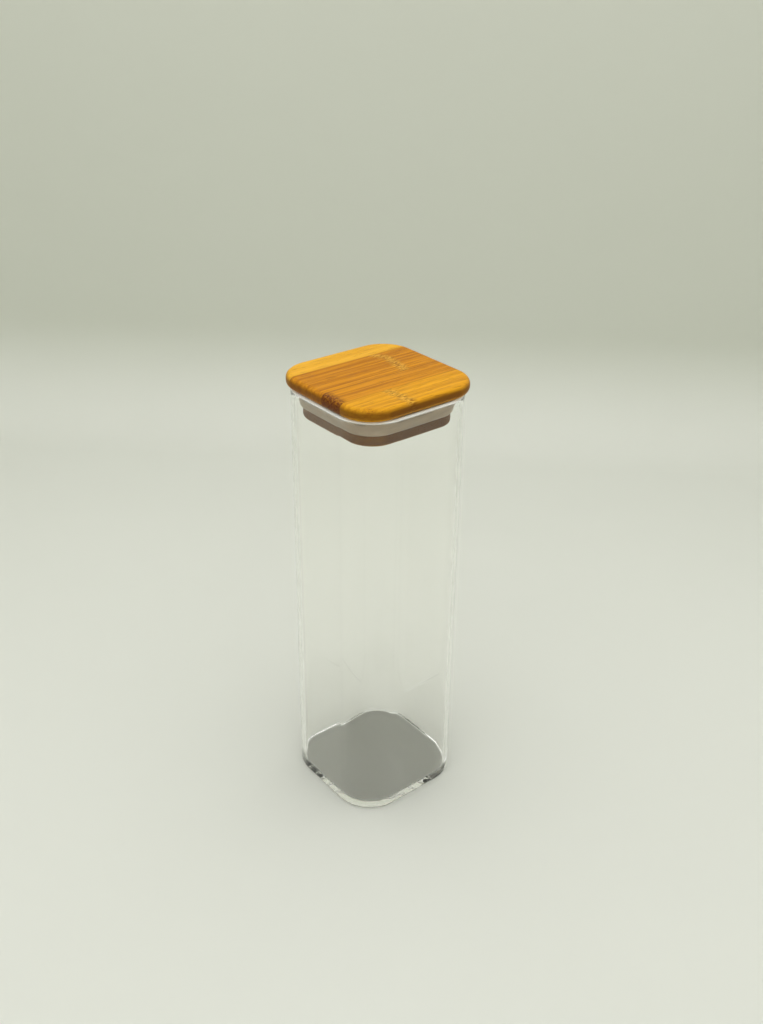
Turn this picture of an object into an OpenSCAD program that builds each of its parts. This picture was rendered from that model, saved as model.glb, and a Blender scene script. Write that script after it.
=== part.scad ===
// Tall square glass storage jar with a laminated bamboo lid and a silicone wiper seal.
// Millimetres. The origin is the centre of the foot, +Z is up, and the lid's grain runs along X.

/* [Glass jar] */
// Width across the flats of the glass, outside
jar_w = 65; // [56:1:90]
// Height of the glass from the table to the top of the rim
jar_h = 209; // [120:1:260]
// Outside radius of the four upright corners
jar_corner_r = 18.5; // [15:0.5:22]
// Thickness of the glass wall
wall_t = 2; // [1.6:0.1:2.6]
// Thickness of the glass floor at its middle
floor_t = 2.4; // [1.8:0.1:4]
// Outside radius of the heel
heel_r = 3; // [1.5:0.1:4]
// Inside radius where the wall meets the floor
inner_heel_r = 2.2; // [1:0.1:4]
// Distance from the outside face in to the inner edge of the flat ring that the jar stands on
foot_w = 8; // [5.5:0.5:10]
// Height of the push-up at the middle of the underside
push_up_h = 0.6; // [0.3:0.1:1.2]

/* [Lid board] */
// How far the lid board stands out past the flat sides of the glass
board_overhang = 0.5; // [0.2:0.1:3]
// Thickness of the lid board
board_t = 6.1; // [5.5:0.1:9]
// Radius of the board's four corners, seen from above
board_corner_r = 15.5; // [11:0.5:20]
// Radius of the board's rounded edge, above and below
board_edge_r = 2.6; // [1:0.1:2.7]
// Gap between the board and the glass rim when the lid is down
rest_gap = 0.2; // [0.1:0.05:0.5]

/* [Bamboo strips] */
// Width of the front strip of the lid board
front_strip_w = 16.4; // [8:0.1:20]
// Width of the narrow strip behind it
narrow_strip_w = 12.7; // [8:0.1:16]
// Width of the wide strip behind that. The back strip takes the rest
wide_strip_w = 23.4; // [12:0.1:26]
// Width of the front strip of the plug
plug_front_strip_w = 11; // [8:0.5:16]
// Width of the middle strip of the plug. The back strip takes the rest
plug_middle_strip_w = 22.8; // [14:0.1:26]

/* [Plug] */
// Free space between the plug and the inside of the glass
plug_gap = 4.2; // [3.6:0.1:5]
// Thickness of the plug's strips, below the seal
plug_t = 5; // [4:0.1:8]
// Radius of the plug's bottom edge
plug_edge_r = 1.6; // [0.6:0.1:2.5]
// Height of the neck between the plug's strips and the lid board
neck_h = 9; // [8:0.1:12]
// Depth of the groove that the neck leaves for the seal
groove_d = 1.5; // [1.2:0.1:2]

/* [Seal] */
// Clearance between the seal's band and the bamboo round it
seal_fit = 0.05; // [0.02:0.01:0.1]
// Running gap between the seal's lip and the inside of the glass
lip_gap = 0.3; // [0.2:0.05:0.5]
// Thickness of the lip
lip_t = 0.9; // [0.6:0.05:1.1]
// Outside radius of the curl where the lip leaves the band
curl_r = 2.2; // [1.8:0.1:2.4]
// How far the curl stands out past the plug
curl_out = 1.6; // [1.2:0.05:2]
// How far the lip's top edge lies below the glass rim
lip_drop = 0.9; // [0.5:0.1:2]

/* [Hidden] */
$fn = 96;

// Larger than the whole object, for cutting tools that pass right through
beyond = 2 * (jar_w + jar_h);

// The four corner arcs of glass, plug and seal share their centres, at (+-corner_c, +-corner_c),
// so the gaps between them are the same on the flats and round the corners.
jar_half = jar_w / 2;
corner_c = jar_half - jar_corner_r;
bore_half = jar_half - wall_t;

// Lid board, and the seams between its strips
board_half = jar_half + board_overhang;
board_z = jar_h + rest_gap;
seam_front = front_strip_w - board_half;
seam_middle = seam_front + narrow_strip_w;
seam_back = seam_middle + wide_strip_w;

// Plug, and the seams between its strips
plug_half = bore_half - plug_gap;
neck_half = plug_half - groove_d;
neck_z = board_z - neck_h;
plug_z = neck_z - plug_t;
plug_seam_front = plug_front_strip_w - plug_half;
plug_seam_back = plug_seam_front + plug_middle_strip_w;

// Seal. Distances out are measured from the centres of the corner arcs.
band_in = neck_half - corner_c + seal_fit;
band_out = plug_half - corner_c;
band_z = neck_z + seal_fit;
band_h = neck_h - 2 * seal_fit;
// Centre of the curl, and of the lip's round tip
curl_c = [band_out + curl_out - curl_r, band_z + curl_r];
tip_c = [bore_half - corner_c - lip_gap - lip_t / 2, jar_h - lip_drop - lip_t / 2];
// Direction square to the lip's middle line, which runs from the tip and touches the curl's
lip_angle = atan2(tip_c.y - curl_c.y, tip_c.x - curl_c.x)
    - acos((curl_r - lip_t / 2) / norm(tip_c - curl_c));
lip_across = [cos(lip_angle), sin(lip_angle)];

// Colours
glass_colour = [0.90, 0.93, 0.90, 0.35];
silicone_colour = [0.80, 0.78, 0.74, 0.85];
amber_light = [0.90, 0.66, 0.26];
amber_dark = [0.80, 0.50, 0.12];
amber_gold = [0.90, 0.62, 0.14];

// Carries a profile round a square path with rounded corners. The profile's x runs outwards from
// the centres of the corner arcs, which lie at (+-c, +-c).
module round_the_square(c) {
    for (quarter = [0:3]) rotate([0, 0, 90 * quarter]) {
        translate([c, c, 0]) rotate_extrude(angle = 90) children();
        translate([c, c, 0]) rotate([90, 0, 0]) linear_extrude(2 * c) children();
    }
}

// The square block inside that path
module core_block(c, height) {
    translate([-c, -c, 0]) cube([2 * c, 2 * c, height]);
}

// Half section of the glass, from the corner arc's centre outwards
module glass_section() {
    outer = jar_corner_r;
    inner = jar_corner_r - wall_t;
    floor_z = push_up_h + floor_t;
    difference() {
        union() {
            square([outer - heel_r, heel_r]);
            translate([outer - heel_r, heel_r]) circle(heel_r);
            translate([0, heel_r]) square([outer, jar_h - heel_r - wall_t / 2]);
            translate([outer - wall_t / 2, jar_h - wall_t / 2]) circle(wall_t / 2);
        }
        // The space inside
        translate([-1, floor_z + inner_heel_r]) square([inner + 1, beyond]);
        translate([-1, floor_z]) square([inner - inner_heel_r + 1, beyond]);
        translate([inner - inner_heel_r, floor_z + inner_heel_r]) circle(inner_heel_r);
        // The push-up, which rises from the ring that the jar stands on
        polygon([[-1, -1], [outer - foot_w, -1], [outer - foot_w, 0], [0, push_up_h], [-1, push_up_h]]);
    }
}

module glass_jar() {
    color(glass_colour) {
        round_the_square(corner_c) glass_section();
        translate([0, 0, push_up_h]) core_block(corner_c, floor_t);
    }
}

// Half section of the lid board, rounded above and below
module board_section() {
    reach = board_corner_r;
    translate([0, board_edge_r]) square([reach, board_t - 2 * board_edge_r]);
    square([reach - board_edge_r, board_t]);
    for (z = [board_edge_r, board_t - board_edge_r])
        translate([reach - board_edge_r, z]) circle(board_edge_r);
}

// The lid board before it is cut into strips
module board_blank() {
    c = board_half - board_corner_r;
    translate([0, 0, board_z]) {
        round_the_square(c) board_section();
        core_block(c, board_t);
    }
}

// Half section of the plug's board, with its bottom edge rounded
module plug_section() {
    reach = plug_half - corner_c;
    square([reach - plug_edge_r, plug_t]);
    translate([0, plug_edge_r]) square([reach, plug_t - plug_edge_r]);
    translate([reach - plug_edge_r, plug_edge_r]) circle(plug_edge_r);
}

// The plug's board before it is cut into strips
module plug_blank() {
    translate([0, 0, plug_z]) {
        round_the_square(corner_c) plug_section();
        core_block(corner_c, plug_t);
    }
}

// The slice of a blank between two seams, which run along X
module strip(y0, y1) {
    intersection() {
        children();
        translate([-beyond / 2, y0, 0]) cube([beyond, y1 - y0, beyond]);
    }
}

module lid_strip_back() {
    color(amber_light) strip(seam_back, board_half) board_blank();
}

module lid_strip_wide() {
    color(amber_dark) strip(seam_middle, seam_back) board_blank();
}

module lid_strip_narrow() {
    color(amber_dark) strip(seam_front, seam_middle) board_blank();
}

module lid_strip_front() {
    color(amber_gold) strip(-board_half, seam_front) board_blank();
}

module plug_strip_back() {
    color(amber_dark) strip(plug_seam_back, plug_half) plug_blank();
}

module plug_strip_middle() {
    color(amber_dark) strip(plug_seam_front, plug_seam_back) plug_blank();
}

module plug_strip_front() {
    color(amber_gold) strip(-plug_half, plug_seam_front) plug_blank();
}

// The block glued between the lid board and the plug's strips. It is narrower than both, so the
// three make the groove that holds the seal.
module plug_neck() {
    color(amber_dark) translate([0, 0, neck_z]) {
        round_the_square(corner_c) square([neck_half - corner_c, neck_h]);
        core_block(corner_c, neck_h);
    }
}

// Half section of the seal: a flat band that grips the neck, and a lip that curls out of the
// band's lower end and leans out to the glass. The two make a narrow V, open at the top.
module seal_section() {
    translate([band_in, band_z]) square([band_out - band_in, band_h]);
    // The curl, a ring's arc from straight down to where the lip leaves it
    intersection() {
        translate(curl_c) difference() {
            circle(curl_r);
            circle(curl_r - lip_t);
        }
        translate(curl_c) polygon([
            [0, 0], [0, -2 * curl_r], [2 * curl_r, -2 * curl_r], 2 * curl_r * lip_across
        ]);
    }
    // The leaning lip and its round tip
    root_c = curl_c + (curl_r - lip_t / 2) * lip_across;
    polygon([
        root_c - lip_t / 2 * lip_across, root_c + lip_t / 2 * lip_across,
        tip_c + lip_t / 2 * lip_across, tip_c - lip_t / 2 * lip_across
    ]);
    translate(tip_c) circle(lip_t / 2);
}

module seal() {
    color(silicone_colour) round_the_square(corner_c) seal_section();
}

glass_jar();
seal();
lid_strip_back();
lid_strip_wide();
lid_strip_narrow();
lid_strip_front();
plug_neck();
plug_strip_back();
plug_strip_middle();
plug_strip_front();
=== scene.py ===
import math

import bpy
import numpy as np
from mathutils import Matrix, Vector


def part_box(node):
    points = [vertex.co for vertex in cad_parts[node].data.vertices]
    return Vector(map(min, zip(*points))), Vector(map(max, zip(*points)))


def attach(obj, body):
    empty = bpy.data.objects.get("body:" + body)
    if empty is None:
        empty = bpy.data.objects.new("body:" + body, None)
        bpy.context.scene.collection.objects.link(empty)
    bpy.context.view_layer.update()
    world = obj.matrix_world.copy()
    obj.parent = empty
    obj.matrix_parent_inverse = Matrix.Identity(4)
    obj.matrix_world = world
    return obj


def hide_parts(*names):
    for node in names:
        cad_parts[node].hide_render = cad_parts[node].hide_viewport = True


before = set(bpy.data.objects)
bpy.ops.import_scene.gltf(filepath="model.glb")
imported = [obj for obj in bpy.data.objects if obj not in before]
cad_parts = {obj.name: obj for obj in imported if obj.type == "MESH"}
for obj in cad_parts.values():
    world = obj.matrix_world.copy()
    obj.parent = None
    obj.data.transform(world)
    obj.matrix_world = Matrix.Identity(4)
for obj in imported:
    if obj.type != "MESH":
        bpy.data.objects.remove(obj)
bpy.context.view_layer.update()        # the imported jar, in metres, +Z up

MM = 0.001

# Sizes, worked out from the frame where it holds them
JAR_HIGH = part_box("glass_jar")[1]
SEAL_LOW, SEAL_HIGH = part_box("seal")
BOARD_LOW, BOARD_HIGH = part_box("lid_strip_front")
WIDE_LOW, WIDE_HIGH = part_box("lid_strip_wide")
NARROW_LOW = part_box("lid_strip_narrow")[0]
NECK_LOW, NECK_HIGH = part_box("plug_neck")
PLUG_LOW, PLUG_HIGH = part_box("plug_strip_middle")

# The jar. Its heel is sharper, outside and inside, than the CAD solid's, as the photograph shows.
JAR_HALF = JAR_HIGH.x
RIM_Z = JAR_HIGH.z
JAR_CORNER_R = 18.5 * MM
CORNER_C = JAR_HALF - JAR_CORNER_R      # centres of the corner arcs of glass, seal and plug
WALL_T = 2 * MM
FLOOR_T = 2.4 * MM
HEEL_R = 1.2 * MM
INNER_HEEL_R = 1.6 * MM
FOOT_W = 8 * MM
PUSH_UP_H = 0.6 * MM

# The bamboo
BOARD_HALF = BOARD_HIGH.x
BOARD_CORNER_R = 15.5 * MM
BOARD_EDGE_R = 2.6 * MM
PLUG_HALF = PLUG_HIGH.x
PLUG_EDGE_R = 1.6 * MM
SHARP_R = 1e-6          # an edge that is hardly rounded
MESH_STEP = 1.0 * MM

# The seal
SEAL_FIT = 0.05 * MM
SEAL_BAND_IN = NECK_HIGH.x + SEAL_FIT
LIP_T = 0.9 * MM
LIP_DROP = 0.9 * MM
CURL_R = 2.2 * MM
CURL_OUT = 1.6 * MM

# The studio's paper, which stands up as walls round the floor
PAPER_GAP = 0.05 * MM
TENT_HALF = 0.62
TENT_CORNER_R = 0.30
TENT_SWEEP_R = 0.08
TENT_H = 0.62
TENT_TURN = math.radians(-43)
TENT_BACK = 0.44        # from the jar's axis to the wall behind it
SKY_STRENGTH = 1.45

# Finishes. Lengths are in millimetres here, apart from the depth of the grain, and colours linear.
SILICONE_DEEP = (0.52, 0.38, 0.26, 1)
SILICONE_PALE = (0.82, 0.64, 0.48, 1)
# painted shade on the seal, where its lip touches the glass
CONTACT_SHADE_DARK = (0.09, 0.05, 0.02, 1)
PAPER_DEEP = (0.715, 0.725, 0.675, 1)
PAPER_PALE = (0.745, 0.755, 0.705, 1)
# painted shade for the paper where it stands up as walls
PAPER_WALL_SHADE = (0.625, 0.64, 0.57, 1)
WALL_FROM, WALL_TO = 2, 90
PALE_RIM_H = 1.2
PATCH_DROP = 2.3        # from the rim down to the middle of the patches of painted shade
NODE_SWAY = 9.0
NODE_W = 4.2
SEAM_W = 0.3
BURNT_FROM, BURNT_TO = 32.0, 27.0
GRAIN_DEPTH = 0.06 * MM
AMBER_LIGHT = (0.80, 0.42, 0.030, 1)
AMBER_LIGHT_DEEP = (0.68, 0.32, 0.014, 1)
AMBER_MIDDLE = (0.66, 0.27, 0.006, 1)
AMBER_DEEP = (0.40, 0.135, 0.002, 1)
GOLD = (0.76, 0.36, 0.010, 1)
GOLD_DEEP = (0.56, 0.23, 0.004, 1)
PLUG_PALE = (0.58, 0.27, 0.003, 1)
PLUG_DEEP = (0.34, 0.135, 0.002, 1)
FIBRE_DARK = (0.20, 0.060, 0.002, 1)
NODE_PALE = (0.84, 0.46, 0.050, 1)
# painted shade on the bamboo's sides and rounded edges, and the dark joints at the seams
SIDE_SHADE_AND_SEAM_DARK = (0.15, 0.048, 0.002, 1)
BURNT = (0.10, 0.020, 0.003, 1)

# The camera, found by fitting the jar's outline to the photograph
CAMERA_PLACE = Vector((-0.2805, -0.3498, 0.3914))
CAMERA_HEADING = math.radians(-39.03)
CAMERA_PITCH = math.radians(28.59)
CAMERA_ROLL = math.radians(0.63)
CAMERA_LENS = 38.74


def arc(x, z, radius, start, end, count):
    """Points along a circular arc in a section; the angles are in degrees."""
    a = np.radians(np.linspace(start, end, count))
    return np.column_stack((x + radius * np.cos(a), z + radius * np.sin(a)))


def line(start, end, count):
    """Points along a straight stretch of a section, both ends included."""
    share = np.linspace(0, 1, count)[:, None]
    return (1 - share) * np.array(start) + share * np.array(end)


def joined(*stretches):
    """One section from several stretches, with the doubled points where they meet left out."""
    points = np.concatenate(stretches)
    step = np.linalg.norm(np.diff(points, axis=0), axis=1)
    return points[np.concatenate(([True], step > 1e-7))]


def square_path(corner_steps=32, side_steps=14):
    """A square path with rounded corners, anticlockwise: for each point, the place on the square
    of the corner arcs' centres (in units of its half-width) and the direction outwards."""
    places, outs = [], []
    for quarter in range(4):
        turn = math.pi / 2 * quarter
        a = turn + np.linspace(0, math.pi / 2, corner_steps + 1)
        corner = math.sqrt(2) * np.array([math.cos(turn + math.pi / 4), math.sin(turn + math.pi / 4)])
        places.append(np.repeat(corner[None], len(a), axis=0))
        outs.append(np.column_stack((np.cos(a), np.sin(a))))
        share = np.linspace(0, 1, side_steps + 1)[1:-1, None]
        after = np.array([-corner[1], corner[0]])
        places.append((1 - share) * corner + share * after)
        outs.append(np.repeat(outs[-1][-1][None], side_steps - 1, axis=0))
    return np.concatenate(places), np.concatenate(outs)


def swept(section, half, path):
    """Carries a section (distance out from the corner arcs' centres, height) round the path."""
    places, outs = path
    flat = half * places[None] + section[:, 0, None, None] * outs[None]
    height = np.broadcast_to(section[:, 1, None, None], flat.shape[:2] + (1,))
    return np.concatenate((flat, height), axis=2)


def shrunk(loop, shares):
    """Copies of a level loop, drawn in towards the axis by each share."""
    scale = np.array(shares)[:, None, None] * np.array([1, 1, 0]) + np.array([0, 0, 1])
    return loop[None] * scale


def mesh_piece(name, rows, body, node, across=False, first_pole=False, last_pole=False):
    """A smooth mesh from a grid of points. Its columns wrap round; its rows wrap too if asked
    (across), or each end closes on a pole at the middle of the end row."""
    count, width = rows.shape[:2]
    index = np.arange(count * width).reshape(count, width)
    upper = np.concatenate((index, index[:1])) if across else index
    a, b = upper[:-1], upper[1:]
    quads = np.stack((a, np.roll(a, -1, 1), np.roll(b, -1, 1), b), axis=2).reshape(-1, 4)
    points = rows.reshape(-1, 3)
    faces = quads.tolist()
    for wanted, ring, flip in ((first_pole, index[0], True), (last_pole, index[-1], False)):
        if wanted:
            pole = len(points)
            points = np.concatenate((points, points[ring].mean(axis=0)[None]))
            fan = np.stack((ring, np.roll(ring, -1), np.full(width, pole)), axis=1)
            faces += (fan[:, ::-1] if flip else fan).tolist()
    return new_piece(name, points, faces, body, node)


def new_piece(name, points, faces, body, node):
    """Puts points and faces into a smooth mesh that rides on a body and stands for a CAD node."""
    mesh = bpy.data.meshes.new(name)
    mesh.from_pydata(points.tolist(), [], faces)
    mesh.shade_smooth()
    piece = bpy.data.objects.new(name, mesh)
    bpy.context.scene.collection.objects.link(piece)
    if body:
        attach(piece, body)
        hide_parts(node)
    return piece


# Nodes of the materials

def add(tree, kind, inputs=(), **settings):
    """Adds a shader node, sets its properties, and fills or links its inputs by name."""
    made = tree.nodes.new("ShaderNode" + kind)
    for name, value in settings.items():
        setattr(made, name, value)
    for name, value in dict(inputs).items():
        if isinstance(value, bpy.types.NodeSocket):
            tree.links.new(value, made.inputs[name])
        else:
            made.inputs[name].default_value = value
    return made


def maths(tree, operation, *values):
    """The result of a Math node."""
    return add(tree, "Math", enumerate(values), operation=operation).outputs[0]


def between(tree, value, low, high, to_low=0.0, to_high=1.0):
    """A value eased from one range to another, and held at its ends."""
    inputs = {"Value": value, "From Min": low, "From Max": high, "To Min": to_low, "To Max": to_high}
    return add(tree, "MapRange", inputs, interpolation_type="SMOOTHSTEP").outputs[0]


def noise(tree, where, scale=1.0, detail=3.0, roughness=0.5):
    """The value of a noise at a place."""
    inputs = {"Vector": where, "Scale": scale, "Detail": detail, "Roughness": roughness}
    return add(tree, "TexNoise", inputs).outputs["Fac"]


def mixed(tree, share, one, other):
    """Two colours mixed by a share."""
    made = add(tree, "Mix", data_type="RGBA")
    for slot, value in ((0, share), (6, one), (7, other)):
        if isinstance(value, bpy.types.NodeSocket):
            tree.links.new(value, made.inputs[slot])
        else:
            made.inputs[slot].default_value = value
    return made.outputs[2]


def material(name, **surface):
    """A new material: its node tree and its Principled shader, with the given sockets set."""
    made = bpy.data.materials.new(name)
    made.use_nodes = True
    shader = made.node_tree.nodes["Principled BSDF"]
    for socket, value in surface.items():
        shader.inputs[socket.replace("_", " ")].default_value = value
    return made, made.node_tree, shader


def place_in_mm(tree, stretch=(1, 1, 1), shift=(0, 0, 0)):
    """Object coordinates in millimetres, stretched along each axis and shifted."""
    where = add(tree, "TexCoord").outputs["Object"]
    inputs = {"Vector": where, "Scale": [1000 * s for s in stretch], "Location": shift}
    return add(tree, "Mapping", inputs).outputs[0]


def axes(tree, where):
    """The three parts of a place or a direction."""
    return add(tree, "SeparateXYZ", {"Vector": where}).outputs


def clear_glass():
    """Clear glass, with faint streaks in its polish. The rim is made paler than clear glass, to
    stand for the light that the wall carries up to it."""
    made, tree, shader = material("clear_glass", Base_Color=(1, 1, 0.99, 1), IOR=1.46)
    streaks = noise(tree, place_in_mm(tree, (0.3, 0.3, 0.05)), 1.0, 2.0)
    tree.links.new(between(tree, streaks, 0.35, 0.75, 0.0, 0.02), shader.inputs["Roughness"])
    height = axes(tree, place_in_mm(tree))[2]
    rim_mm = RIM_Z / MM
    clear = between(tree, height, rim_mm - PALE_RIM_H, rim_mm - 0.5 * PALE_RIM_H, 1.0, 0.25)
    tree.links.new(clear, shader.inputs["Transmission Weight"])
    return made


def silicone():
    """Translucent silicone, with faint dark patches of painted shade along the top of the lip, standing
    for where its touch on the glass lets the darker bamboo show through.
    """
    made, tree, shader = material(
        "silicone", Roughness=0.38, IOR=1.41, Subsurface_Weight=0.4, Subsurface_Scale=0.003,
        Subsurface_Radius=(1.0, 0.8, 0.6)
    )
    cloudy = noise(tree, place_in_mm(tree, (0.1, 0.1, 0.4)), 1.0, 3.0)
    colour = mixed(tree, cloudy, SILICONE_DEEP, SILICONE_PALE)
    height = axes(tree, place_in_mm(tree))[2]
    patch_z = RIM_Z / MM - PATCH_DROP
    from_lip = maths(tree, "ABSOLUTE", maths(tree, "SUBTRACT", height, patch_z))
    pressed = noise(tree, place_in_mm(tree, (0.07, 0.07, 0.2)), 1.0, 2.0)
    # Painted shade: faint dark patches along the lip where it touches the glass, fixed in the seal's
    # colour
    contact_shade = maths(tree, "MULTIPLY", between(tree, from_lip, 0.3, 0.8, 0.35, 0.0),
                  between(tree, pressed, 0.46, 0.50))
    colour = mixed(tree, contact_shade, colour, CONTACT_SHADE_DARK)
    tree.links.new(colour, shader.inputs["Base Color"])
    return made


def bamboo(name, pale, deep, seed, y0, y1, node_x=None, burnt=False):
    """Bamboo strip: along X run broad streaks in two colours, fine fibres and short dark dashes.
    A node is a wavy band of short broken streaks across the strip. The sides and rounded edges are
    darkened by painted shade, more as the face turns from upward, and the seams are dark joints."""
    made, tree, shader = material(name, Specular_IOR_Level=0.12)
    x, y, _ = axes(tree, place_in_mm(tree))
    broad = noise(tree, place_in_mm(tree, (0.012, 0.55, 0.55), (seed, seed, 0)), 1.0, 4.0, 0.6)
    fine = noise(tree, place_in_mm(tree, (0.05, 3.0, 3.0), (seed, 0, seed)), 1.0, 3.0, 0.6)
    dashes = noise(tree, place_in_mm(tree, (0.13, 2.2, 2.2), (0, seed, seed)), 1.0, 2.0)
    tone = maths(tree, "ADD", maths(tree, "MULTIPLY", broad, 0.65), maths(tree, "MULTIPLY", fine, 0.35))
    colour = mixed(tree, between(tree, tone, 0.38, 0.62), deep, pale)
    colour = mixed(tree, between(tree, dashes, 0.58, 0.70, 0.0, 0.5), colour, FIBRE_DARK)
    if node_x is not None:
        sway = noise(tree, place_in_mm(tree, (0, 0.22, 0.22), (seed, 0, 0)), 1.0, 2.0)
        bent = maths(tree, "MULTIPLY", maths(tree, "SUBTRACT", sway, 0.5), NODE_SWAY)
        away = maths(tree, "ABSOLUTE", maths(tree, "ADD", maths(tree, "SUBTRACT", x, node_x), bent))
        dabs = noise(tree, place_in_mm(tree, (0.40, 1.9, 1.9), (seed, 0, 0)), 1.0, 3.0, 0.6)
        marks = mixed(tree, between(tree, dabs, 0.40, 0.60), FIBRE_DARK, NODE_PALE)
        colour = mixed(tree, between(tree, away, 0.4, NODE_W, 0.75, 0.0), colour, marks)
    # Painted shade: the colour darkens as the face turns from upward, on the sides and rounded edges
    facing = axes(tree, add(tree, "TexCoord").outputs["Normal"])
    level = maths(tree, "ABSOLUTE", facing[2])
    colour = mixed(tree, between(tree, level, 0.1, 0.9, 0.80, 0.0), colour, SIDE_SHADE_AND_SEAM_DARK)
    if burnt:
        specks = noise(tree, place_in_mm(tree, (1.1, 1.1, 1.1)), 1.0, 3.0, 0.7)
        zone = maths(tree, "MULTIPLY", between(tree, x, -BURNT_FROM, -BURNT_TO, 0.95, 0.0),
                     between(tree, specks, 0.38, 0.58, 0.35, 1.0))
        colour = mixed(tree, zone, colour, BURNT)
    middle, half = (y0 + y1) / (2 * MM), (y1 - y0) / (2 * MM)
    from_seam = maths(tree, "ABSOLUTE", maths(tree, "SUBTRACT", y, middle))
    colour = mixed(tree, between(tree, from_seam, half - SEAM_W, half, 0.0, 0.55), colour, SIDE_SHADE_AND_SEAM_DARK)
    tree.links.new(colour, shader.inputs["Base Color"])
    tree.links.new(between(tree, fine, 0.3, 0.7, 0.40, 0.56), shader.inputs["Roughness"])
    relief = maths(tree, "SUBTRACT", fine, between(tree, dashes, 0.56, 0.70))
    grain = add(tree, "Bump", {"Height": relief, "Distance": GRAIN_DEPTH, "Strength": 0.5})
    tree.links.new(grain.outputs[0], shader.inputs["Normal"])
    return made


def paper():
    """Pale, slightly uneven paper, with painted shade that darkens it where it stands up as a wall."""
    made, tree, shader = material("paper", Roughness=0.9)
    mottle = noise(tree, place_in_mm(tree, (0.006, 0.006, 0.006)), 1.0, 3.0)
    colour = mixed(tree, mottle, PAPER_DEEP, PAPER_PALE)
    height = axes(tree, place_in_mm(tree))[2]
    # Painted shade: the paper turns darker with height as it stands up as a wall
    colour = mixed(tree, between(tree, height, WALL_FROM, WALL_TO), colour, PAPER_WALL_SHADE)
    tree.links.new(colour, shader.inputs["Base Color"])
    return made


# The jar

def glass_section():
    """Section of the glass, from the underside out, up the outer wall, over the rim and down."""
    outer = JAR_CORNER_R
    inner = outer - WALL_T
    floor_z = PUSH_UP_H + FLOOR_T
    return joined(
        line((outer - FOOT_W, 0), (outer - HEEL_R, 0), 6),
        arc(outer - HEEL_R, HEEL_R, HEEL_R, -90, 0, 14),
        line((outer, HEEL_R), (outer, RIM_Z - WALL_T / 2), 60),
        arc(outer - WALL_T / 2, RIM_Z - WALL_T / 2, WALL_T / 2, 0, 180, 17),
        line((inner, RIM_Z - WALL_T / 2), (inner, floor_z + INNER_HEEL_R), 60),
        arc(inner - INNER_HEEL_R, floor_z + INNER_HEEL_R, INNER_HEEL_R, 0, -90, 12),
    )


def make_jar():
    """The section swept round the square, with its floor closed by drawn-in copies of the end loops.
    The underside rises as (1 - k^2)^2, where k is the share of the way out from the axis."""
    rows = swept(glass_section(), CORNER_C, square_path())
    inwards = np.linspace(1, 0.04, 16)
    underside = shrunk(rows[0], inwards[::-1][:-1])
    underside[..., 2] = PUSH_UP_H * (1 - inwards[::-1][:-1, None]**2)**2
    rows = np.concatenate((underside, rows, shrunk(rows[-1], inwards[1:])))
    piece = mesh_piece("jar_glass", rows, "jar", "glass_jar",
                       first_pole=True, last_pole=True)
    piece.data.materials.append(clear_glass())


# The seal

def seal_section():
    """Section of the seal: the band, and the lip that curls out of its foot and leans out."""
    band_in = SEAL_BAND_IN - CORNER_C
    band_out = PLUG_HALF - CORNER_C
    curl_x, curl_z = band_out + CURL_OUT - CURL_R, SEAL_LOW.z + CURL_R
    tip_x, tip_z = SEAL_HIGH.x - CORNER_C - LIP_T / 2, RIM_Z - LIP_DROP - LIP_T / 2
    reach = math.hypot(tip_x - curl_x, tip_z - curl_z)
    lean = math.degrees(math.atan2(tip_z - curl_z, tip_x - curl_x)
                        - math.acos((CURL_R - LIP_T / 2) / reach))
    notch = -math.degrees(math.acos((band_out - curl_x) / (CURL_R - LIP_T)))
    return joined(
        line((band_in, SEAL_LOW.z), (curl_x, SEAL_LOW.z), 4),
        arc(curl_x, curl_z, CURL_R, -90, lean, 12),
        arc(tip_x, tip_z, LIP_T / 2, lean, lean + 180, 12),
        arc(curl_x, curl_z, CURL_R - LIP_T, lean, notch, 8),
        line((band_out, curl_z + (CURL_R - LIP_T) * math.sin(math.radians(notch))),
             (band_out, SEAL_HIGH.z), 16),
        line((band_out, SEAL_HIGH.z), (band_in, SEAL_HIGH.z), 5),
        line((band_in, SEAL_HIGH.z), (band_in, SEAL_LOW.z), 16)[:-1],
    )


def make_seal():
    """The seal's closed section swept round the square."""
    rows = swept(seal_section(), CORNER_C, square_path())
    piece = mesh_piece("seal_ring", rows, "lid", "seal", across=True)
    piece.data.materials.append(silicone())


# The bamboo

def rounded_drop(out, corner_r, edge_r):
    """How far a face falls near its edge: a circular arc within edge_r of the outline."""
    into = np.clip(out - (corner_r - edge_r), 0, edge_r)
    return edge_r - np.sqrt(np.maximum(edge_r**2 - into**2, 0))


def eased(low, high, edge_low, edge_high):
    """Places between two limits, closer together within the rounded edges at its ends."""
    middle = np.linspace(low + edge_low, high - edge_high,
                         max(2, round((high - low - edge_low - edge_high) / MESH_STEP)))
    swing = np.sin(np.radians(np.linspace(90, 0, 12)))
    first = low + edge_low * (1 - swing) if edge_low else middle[:1]
    last = high - edge_high * (1 - swing[::-1]) if edge_high else middle[-1:]
    return np.unique(np.round(np.concatenate((first, middle, last)), 8))


def strip_sheet(y, half, corner_r, edge_r):
    """Grid over a strip's outline and, for each point, how far its rounded face falls there."""
    core = half - corner_r
    past = np.maximum(np.abs(y) - core, 0)
    reach = core + np.sqrt(np.maximum(corner_r**2 - past**2, 0))
    share = eased(-half, half, BOARD_EDGE_R, BOARD_EDGE_R) / half
    x = reach[:, None] * share[None]
    out = np.hypot(np.maximum(np.abs(x) - core, 0), past[:, None])
    return x, rounded_drop(out, corner_r, edge_r)


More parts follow.
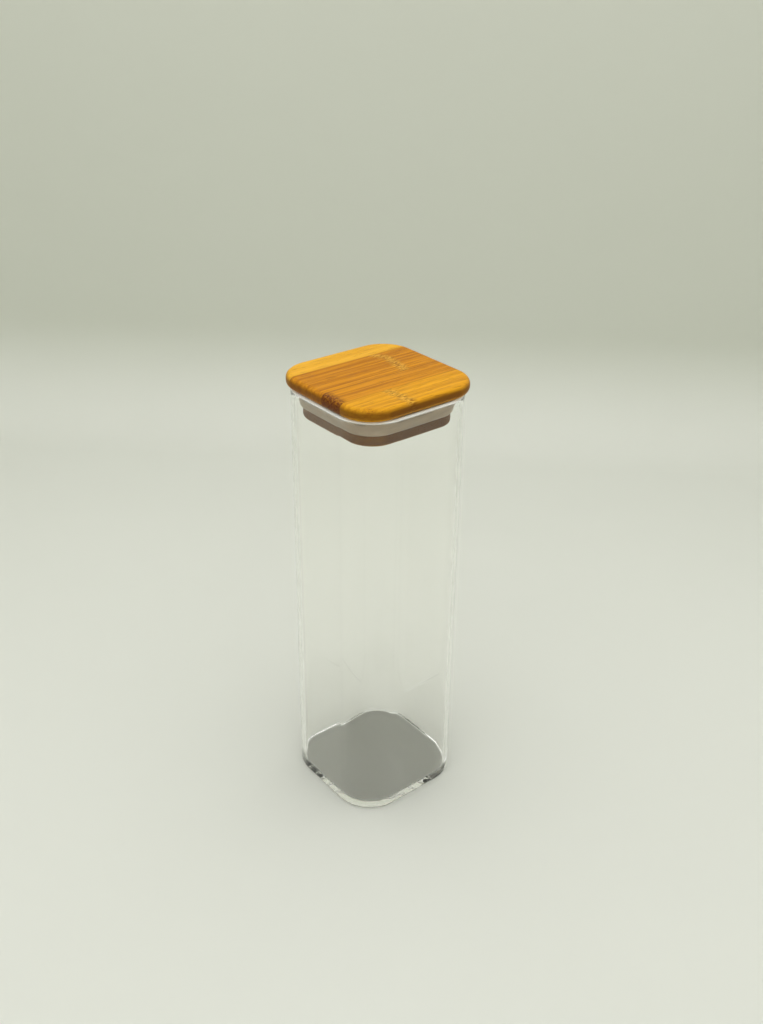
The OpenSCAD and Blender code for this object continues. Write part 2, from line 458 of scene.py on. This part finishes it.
def make_strip(name, node, slot, finish, half, corner_r, low_r, high_r, y0, y1, z0, z1):
    """A strip of a rounded board between two seams, as two sheets joined round their edges."""
    edge_low = BOARD_EDGE_R if y0 < -half + SHARP_R else 0
    edge_high = BOARD_EDGE_R if y1 > half - SHARP_R else 0
    y = eased(y0, y1, edge_low, edge_high)
    x, fall = strip_sheet(y, half, corner_r, high_r)
    _, rise = strip_sheet(y, half, corner_r, low_r)
    grid_y = np.broadcast_to(y[:, None], x.shape)
    top = np.stack((x, grid_y, z1 - fall), axis=2)
    bottom = np.stack((x, grid_y, z0 + rise), axis=2)
    count, width = x.shape
    upper = np.arange(count * width).reshape(count, width)
    lower = upper + count * width
    faces = []
    for index, flip in ((upper, False), (lower, True)):
        quads = np.stack((index[:-1, :-1], index[:-1, 1:], index[1:, 1:], index[1:, :-1]), axis=2)
        faces += (quads[..., ::-1] if flip else quads).reshape(-1, 4).tolist()
    rim_up = np.concatenate((upper[0], upper[1:, -1], upper[-1, -2::-1], upper[-2:0:-1, 0]))
    rim_low = rim_up + count * width
    faces += np.stack((rim_low, np.roll(rim_low, -1), np.roll(rim_up, -1), rim_up), axis=1).tolist()
    points = np.concatenate((top.reshape(-1, 3), bottom.reshape(-1, 3)))
    piece = new_piece(name, points, faces, "lid", node)
    piece.data.set_sharp_from_angle(angle=math.radians(40))
    piece.data.materials.append(finish)


def make_lid():
    """The board's four strips, the plug's three and the neck between them."""
    board = dict(half=BOARD_HALF, corner_r=BOARD_CORNER_R, low_r=BOARD_EDGE_R, high_r=BOARD_EDGE_R,
                 z0=BOARD_LOW.z, z1=BOARD_HIGH.z)
    seams = (-BOARD_HALF, NARROW_LOW.y, WIDE_LOW.y, WIDE_HIGH.y, BOARD_HALF)
    looks = (
        ("front", "bamboo_gold", GOLD, GOLD_DEEP, dict(seed=3, node_x=-8)),
        ("narrow", "bamboo_dark", AMBER_MIDDLE, AMBER_DEEP, dict(seed=11, burnt=True)),
        ("wide", "bamboo_dark", AMBER_MIDDLE, AMBER_DEEP, dict(seed=17, node_x=14)),
        ("back", "bamboo_light", AMBER_LIGHT, AMBER_LIGHT_DEEP, dict(seed=29)),
    )
    for (part, slot, pale, deep, marks), y0, y1 in zip(looks, seams, seams[1:]):
        finish = bamboo(part + "_strip", pale, deep, y0=y0, y1=y1, **marks)
        make_strip("board_" + part, "lid_strip_" + part, slot, finish, y0=y0, y1=y1, **board)

    plug = dict(half=PLUG_HALF, corner_r=PLUG_HALF - CORNER_C, low_r=PLUG_EDGE_R, high_r=SHARP_R,
                z0=PLUG_LOW.z, z1=PLUG_HIGH.z)
    seams = (-PLUG_HALF, PLUG_LOW.y, PLUG_HIGH.y, PLUG_HALF)
    for part, seed, y0, y1 in zip(("front", "middle", "back"), (5, 8, 13), seams, seams[1:]):
        finish = bamboo("plug_" + part + "_strip", PLUG_PALE, PLUG_DEEP, seed, y0, y1)
        make_strip("plug_" + part, "plug_strip_" + part, "bamboo_brown", finish, y0=y0, y1=y1, **plug)
    neck = NECK_HIGH.x
    finish = bamboo("neck_bamboo", PLUG_PALE, PLUG_DEEP, 21, -neck, neck)
    make_strip("neck_block", "plug_neck", "bamboo_brown", finish, half=neck, corner_r=neck - CORNER_C,
               low_r=SHARP_R, high_r=SHARP_R, y0=-neck, y1=neck, z0=NECK_LOW.z, z1=NECK_HIGH.z)


# The studio

def make_stage():
    """Floor and walls of one sheet of pale paper, with a round bend between them."""
    section = joined(
        line((0, 0), (TENT_CORNER_R - TENT_SWEEP_R, 0), 8),
        arc(TENT_CORNER_R - TENT_SWEEP_R, TENT_SWEEP_R, TENT_SWEEP_R, -90, 0, 24),
        line((TENT_CORNER_R, TENT_SWEEP_R), (TENT_CORNER_R, TENT_H), 6),
    )
    rows = swept(section, TENT_HALF - TENT_CORNER_R, square_path(16, 8))
    rows = np.concatenate((shrunk(rows[0], np.linspace(0.1, 1, 8)[:-1]), rows))
    rows -= np.array([0, TENT_HALF - TENT_BACK, PAPER_GAP])
    turn = np.array(Matrix.Rotation(TENT_TURN, 3, "Z"))
    sheet = mesh_piece("paper_sweep", (rows @ turn.T)[:, ::-1], None, None, first_pole=True)
    sheet.data.materials.append(paper())


def make_light():
    """A soft bright sky over the open tent."""
    world = bpy.data.worlds.new("soft_sky")
    world.use_nodes = True
    background = world.node_tree.nodes["Background"]
    background.inputs["Color"].default_value = (1.0, 1.0, 0.98, 1)
    background.inputs["Strength"].default_value = SKY_STRENGTH
    bpy.context.scene.world = world


def make_camera():
    """The photograph's camera: looks along its heading, tilted down and rolled a little."""
    forward = Vector((-math.sin(CAMERA_HEADING) * math.cos(CAMERA_PITCH),
                      math.cos(CAMERA_HEADING) * math.cos(CAMERA_PITCH), -math.sin(CAMERA_PITCH)))
    level = forward.cross(Vector((0, 0, 1))).normalized()
    lifted = level.cross(forward)
    right = math.cos(CAMERA_ROLL) * level + math.sin(CAMERA_ROLL) * lifted
    up = math.cos(CAMERA_ROLL) * lifted - math.sin(CAMERA_ROLL) * level
    data = bpy.data.cameras.new("camera")
    data.sensor_width = 36
    data.lens = CAMERA_LENS
    data.clip_start, data.clip_end = 0.01, 20
    camera = bpy.data.objects.new("camera", data)
    camera.matrix_world = (Matrix.Translation(CAMERA_PLACE)
                           @ Matrix((right, up, -forward)).transposed().to_4x4())
    bpy.context.scene.collection.objects.link(camera)
    bpy.context.scene.camera = camera


make_camera()
make_stage()
make_light()
make_jar()
make_seal()
make_lid()

scene = bpy.context.scene
scene.view_settings.view_transform = "Standard"
# Light runs down inside the glass wall in many small reflections, which need as many bounces.
scene.cycles.max_bounces = 96
scene.cycles.glossy_bounces = 96
scene.cycles.transmission_bounces = 96
bpy.context.view_layer.update()
